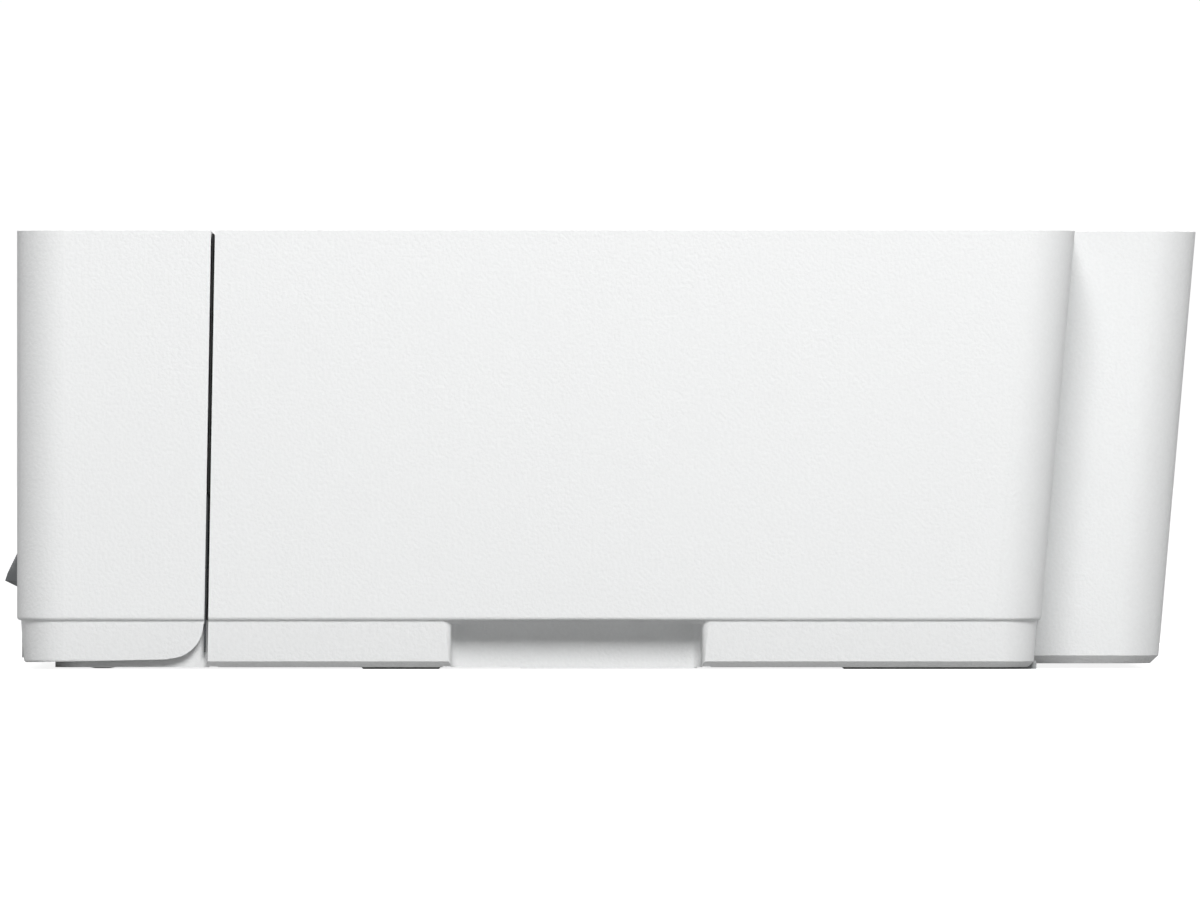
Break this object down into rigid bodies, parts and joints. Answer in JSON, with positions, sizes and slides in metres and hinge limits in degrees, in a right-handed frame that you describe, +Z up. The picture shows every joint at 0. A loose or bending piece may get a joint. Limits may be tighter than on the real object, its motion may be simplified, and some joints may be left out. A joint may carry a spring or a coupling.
{
  "type": "inkjet printer",
  "caption": "Low, white desktop inkjet printer with a flatbed scanner on top, a front paper tray, a sliding output tray and a paper turn at the rear.",
  "frame": {"origin": "on the table under the centre of the printer's outline", "axes": "+X towards the printer's right side as a user faces it from the front being -Y, +Y towards the rear, +Z up"},
  "size_m": [0.432, 0.36, 0.1316],
  "materials": {
    "white_housing": "fine moulded grain",
    "black_frame": "fine moulded grain",
    "grey_trim": "satin",
    "slate_plastic": "fine moulded grain",
    "light_guide": "frosted",
    "grey_rubber": "matt",
    "dark_plastic": "moulded",
    "light_plastic": "moulded",
    "mid_plastic": "moulded",
    "natural_plastic": "moulded acetal",
    "glass": "polished",
    "white_foam": "foam with a smooth film",
    "ground_steel": "ground",
    "zinc_steel": "zinc plated sheet",
    "motor_steel": "plated",
    "brass": "turned",
    "clear_film": "printed film",
    "belt_rubber": "matt",
    "roller_rubber": "ground",
    "circuit_board": "solder mask",
    "button_plastic": "satin"
  },
  "bodies": {
    "printer": {"front_cover": "white_housing", "main_shell": "white_housing", "base_tray": "white_housing", "rear_cover": "white_housing", "inner_frame": "black_frame", "seam_trim": "grey_trim", "output_housing": "slate_plastic", "light_strip": "light_guide", "front_feet": "grey_rubber", "rear_feet": "grey_rubber", "chassis": "zinc_steel", "guide_rod": "ground_steel", "encoder_strip": "clear_film", "carriage_belt": "belt_rubber", "carriage_motor": "motor_steel", "feed_motor": "motor_steel", "platen": "dark_plastic", "paper_guide": "dark_plastic", "turn_guide": "dark_plastic", "service_station": "mid_plastic", "main_board": "circuit_board", "power_supply": "dark_plastic", "power_inlet": "dark_plastic", "usb_port": "motor_steel", "control_panel": "slate_plastic", "button_board": "circuit_board"},
    "scanner_unit": {"scanner_base": "dark_plastic", "scanner_bezel": "light_plastic", "scanner_glass": "glass", "scan_rod": "ground_steel"},
    "lid": {"lid_cover": "white_housing", "lid_pad": "white_foam"},
    "carriage": {"carriage": "dark_plastic", "black_cartridge": "dark_plastic", "colour_cartridge": "dark_plastic"},
    "scan_bar": {"scan_bar": "dark_plastic"},
    "paper_tray": {"paper_tray": "light_plastic"},
    "right_width_guide": {"right_width_guide": "mid_plastic"},
    "left_width_guide": {"left_width_guide": "mid_plastic"},
    "guide_pinion": {"guide_pinion": "natural_plastic"},
    "length_guide": {"length_guide": "mid_plastic"},
    "output_tray": {"output_tray": "slate_plastic"},
    "tray_extender": {"tray_extender": "slate_plastic"},
    "black_latch": {"black_latch": "mid_plastic"},
    "colour_latch": {"colour_latch": "mid_plastic"},
    "belt_pulley": {"belt_pulley": "natural_plastic"},
    "belt_idler": {"belt_idler": "natural_plastic"},
    "feed_roller": {"feed_roller": "roller_rubber"},
    "idler_gear": {"idler_gear": "natural_plastic"},
    "eject_roller": {"eject_roller": "roller_rubber"},
    "motor_pinion": {"motor_pinion": "brass"},
    "pinch_rollers": {"pinch_rollers": "natural_plastic"},
    "star_wheels": {"star_wheels": "ground_steel"},
    "turn_roller": {"turn_roller": "roller_rubber"},
    "pick_arm": {"pick_arm": "mid_plastic"},
    "pick_roller": {"pick_roller": "roller_rubber"},
    "button_1": {"button_1": "button_plastic"},
    "button_2": {"button_2": "button_plastic"},
    "button_3": {"button_3": "button_plastic"},
    "button_4": {"button_4": "button_plastic"}
  },
  "joints": [
    {"name": "scanner_hinge", "type": "hinge", "parent": "printer", "child": "scanner_unit", "pos_m": [0, 0.1362, 0.127], "axis": [-1, 0, 0], "range_deg": [0, 40]},
    {"name": "lid_hinge", "type": "hinge", "parent": "scanner_unit", "child": "lid", "pos_m": [0, 0.129, 0.1284], "axis": [-1, 0, 0], "range_deg": [0, 85]},
    {"name": "scan_bar_travel", "type": "slide", "parent": "scanner_unit", "child": "scan_bar", "axis": [1, 0, 0], "range_m": [0, 0.31]},
    {"name": "paper_tray_slide", "type": "slide", "parent": "printer", "child": "paper_tray", "axis": [0, -1, 0], "range_m": [0, 0.18]},
    {"name": "right_guide_slide", "type": "slide", "parent": "paper_tray", "child": "right_width_guide", "axis": [-1, 0, 0], "range_m": [0, 0.055]},
    {"name": "left_guide_slide", "type": "slide", "parent": "paper_tray", "child": "left_width_guide", "axis": [1, 0, 0], "range_m": [0, 0.055]},
    {"name": "guide_pinion_spin", "type": "hinge", "parent": "paper_tray", "child": "guide_pinion", "pos_m": [0, 0.06, 0], "axis": [0, 0, 1], "range_deg": [0, 400]},
    {"name": "length_guide_slide", "type": "slide", "parent": "paper_tray", "child": "length_guide", "axis": [0, 1, 0], "range_m": [0, 0.13]},
    {"name": "output_tray_slide", "type": "slide", "parent": "printer", "child": "output_tray", "axis": [0, -1, 0], "range_m": [0, 0.06]},
    {"name": "extender_slide", "type": "slide", "parent": "output_tray", "child": "tray_extender", "axis": [0, -1, 0], "range_m": [0, 0.08]},
    {"name": "carriage_travel", "type": "slide", "parent": "printer", "child": "carriage", "axis": [-1, 0, 0], "range_m": [0, 0.29]},
    {"name": "black_latch_hinge", "type": "hinge", "parent": "carriage", "child": "black_latch", "pos_m": [0.146, -0.0365, 0.083], "axis": [-1, 0, 0], "range_deg": [0, 15]},
    {"name": "colour_latch_hinge", "type": "hinge", "parent": "carriage", "child": "colour_latch", "pos_m": [0.146, -0.0365, 0.083], "axis": [-1, 0, 0], "range_deg": [0, 15]},
    {"name": "belt_pulley_spin", "type": "hinge", "parent": "printer", "child": "belt_pulley", "pos_m": [-0.184, -0.012, 0.08], "axis": [0, 1, 0], "continuous": true},
    {"name": "belt_idler_spin", "type": "hinge", "parent": "printer", "child": "belt_idler", "pos_m": [0.184, -0.012, 0.08], "axis": [0, 1, 0], "continuous": true},
    {"name": "feed_roller_spin", "type": "hinge", "parent": "printer", "child": "feed_roller", "pos_m": [0, -0.022, 0.034], "axis": [1, 0, 0], "continuous": true},
    {"name": "idler_gear_spin", "type": "hinge", "parent": "printer", "child": "idler_gear", "pos_m": [0, -0.06333, 0.03874], "axis": [1, 0, 0], "continuous": true},
    {"name": "eject_roller_spin", "type": "hinge", "parent": "printer", "child": "eject_roller", "pos_m": [0, -0.104, 0.0355], "axis": [1, 0, 0], "continuous": true},
    {"name": "motor_pinion_spin", "type": "hinge", "parent": "printer", "child": "motor_pinion", "pos_m": [0, -0.00171, 0.0245], "axis": [1, 0, 0], "continuous": true},
    {"name": "pinch_roller_spin", "type": "hinge", "parent": "printer", "child": "pinch_rollers", "pos_m": [0, -0.022, 0.0431], "axis": [1, 0, 0], "continuous": true},
    {"name": "star_wheel_spin", "type": "hinge", "parent": "printer", "child": "star_wheels", "pos_m": [0, -0.104, 0.04365], "axis": [1, 0, 0], "continuous": true},
    {"name": "turn_roller_spin", "type": "hinge", "parent": "printer", "child": "turn_roller", "pos_m": [0, 0.148, 0.029], "axis": [1, 0, 0], "continuous": true},
    {"name": "pick_arm_hinge", "type": "hinge", "parent": "printer", "child": "pick_arm", "pos_m": [0, 0.04, 0.033], "axis": [1, 0, 0], "range_deg": [0, 9]},
    {"name": "pick_roller_spin", "type": "hinge", "parent": "pick_arm", "child": "pick_roller", "pos_m": [0, 0.085, 0.0155], "axis": [1, 0, 0], "continuous": true},
    {"name": "button_1_press", "type": "slide", "parent": "printer", "child": "button_1", "axis": [0, 0, -1], "range_m": [0, 0.0007], "stiffness_N_per_m": 300, "springref_m": -0.001},
    {"name": "button_2_press", "type": "slide", "parent": "printer", "child": "button_2", "axis": [0, 0, -1], "range_m": [0, 0.0007], "stiffness_N_per_m": 300, "springref_m": -0.001},
    {"name": "button_3_press", "type": "slide", "parent": "printer", "child": "button_3", "axis": [0, 0, -1], "range_m": [0, 0.0007], "stiffness_N_per_m": 300, "springref_m": -0.001},
    {"name": "button_4_press", "type": "slide", "parent": "printer", "child": "button_4", "axis": [0, 0, -1], "range_m": [0, 0.0007], "stiffness_N_per_m": 300, "springref_m": -0.001}
  ],
  "couplings": [
    {"joint": "left_guide_slide", "follows": "right_guide_slide", "ratio": 1},
    {"joint": "guide_pinion_spin", "follows": "right_guide_slide", "rad_per_m": 125},
    {"joint": "belt_pulley_spin", "follows": "carriage_travel", "rad_per_m": 153.85},
    {"joint": "belt_idler_spin", "follows": "carriage_travel", "rad_per_m": 153.85},
    {"joint": "idler_gear_spin", "follows": "feed_roller_spin", "ratio": -0.625},
    {"joint": "eject_roller_spin", "follows": "feed_roller_spin", "ratio": 1.0526},
    {"joint": "motor_pinion_spin", "follows": "feed_roller_spin", "ratio": -2.5}
  ]
}
